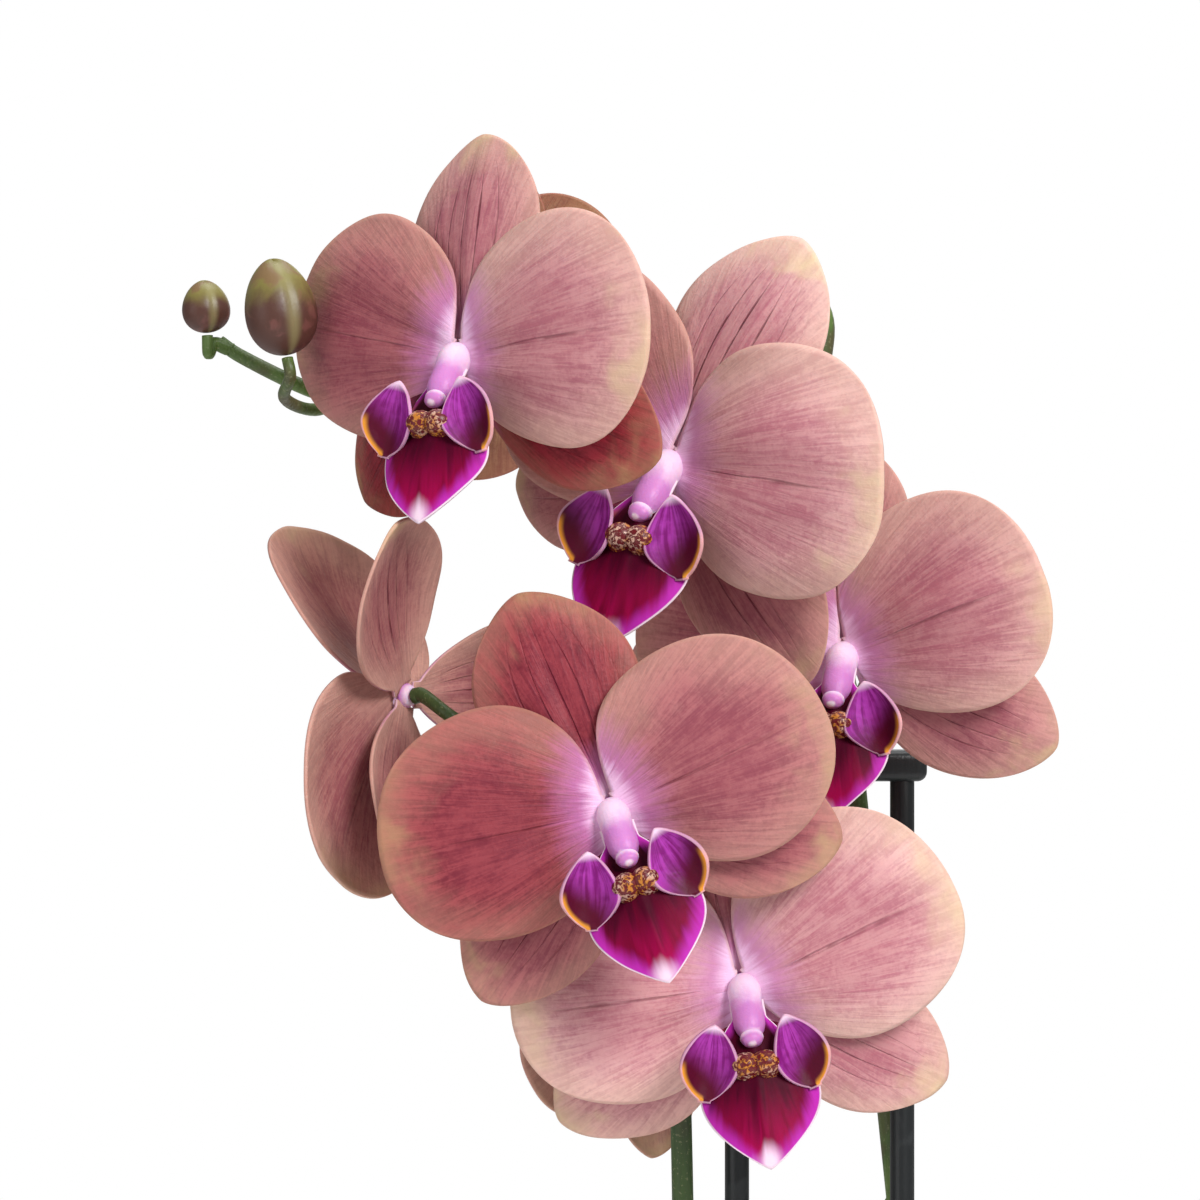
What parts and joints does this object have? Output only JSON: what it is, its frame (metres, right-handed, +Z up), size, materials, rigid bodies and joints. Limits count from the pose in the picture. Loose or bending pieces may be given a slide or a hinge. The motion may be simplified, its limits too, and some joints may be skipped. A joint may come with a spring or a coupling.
{
  "type": "potted orchid",
  "caption": "Potted moth orchid with arching flower spikes clipped to a stake-and-crossbar support, buds, strap leaves, aerial roots, bark mix and a plain open pot.",
  "frame": {"origin": "centre of the pot's flat base", "axes": "+Z up along the pot and the stakes, +X to the right along the crossbar, and the flowers mostly face -Y"},
  "size_m": [0.3743, 0.1603, 0.6076],
  "materials": {
    "petals": "satin",
    "sepals": "satin",
    "lips": "satin",
    "spikes": "satin",
    "buds": "satin",
    "leaves": "satin",
    "roots": "matte",
    "bark": "matte",
    "pot": "gloss",
    "support": "satin"
  },
  "bodies": {
    "root": {"upper_left_flower_sepals": "sepals", "upper_left_flower_petal_left": "petals", "upper_left_flower_petal_right": "petals", "upper_left_flower_lip": "lips", "centre_right_flower_sepals": "sepals", "centre_right_flower_petal_left": "petals", "centre_right_flower_petal_right": "petals", "centre_right_flower_lip": "lips", "right_flower_sepals": "sepals", "right_flower_petal_left": "petals", "right_flower_petal_right": "petals", "right_flower_lip": "lips", "back_facing_flower_sepals": "sepals", "back_facing_flower_petal_left": "petals", "back_facing_flower_petal_right": "petals", "back_facing_flower_lip": "lips", "front_flower_sepals": "sepals", "front_flower_petal_left": "petals", "front_flower_petal_right": "petals", "front_flower_lip": "lips", "lower_flower_sepals": "sepals", "lower_flower_petal_left": "petals", "lower_flower_petal_right": "petals", "lower_flower_lip": "lips", "side_flower_sepals": "sepals", "side_flower_petal_left": "petals", "side_flower_petal_right": "petals", "side_flower_lip": "lips", "hidden_flower_sepals": "sepals", "hidden_flower_petal_left": "petals", "hidden_flower_petal_right": "petals", "hidden_flower_lip": "lips", "low_back_flower_sepals": "sepals", "low_back_flower_petal_left": "petals", "low_back_flower_petal_right": "petals", "low_back_flower_lip": "lips", "upper_spike": "spikes", "front_spike": "spikes", "large_bud": "buds", "small_bud": "buds", "left_stake": "support", "right_stake": "support", "crossbar": "support", "upper_spike_clip": "support", "front_spike_clip": "support", "crown": "leaves", "leaf_1": "leaves", "leaf_2": "leaves", "leaf_3": "leaves", "leaf_4": "leaves", "leaf_5": "leaves", "leaf_6": "leaves", "root_1": "roots", "root_2": "roots", "root_3": "roots", "bark": "bark", "pot": "pot"}
  },
  "joints": []
}
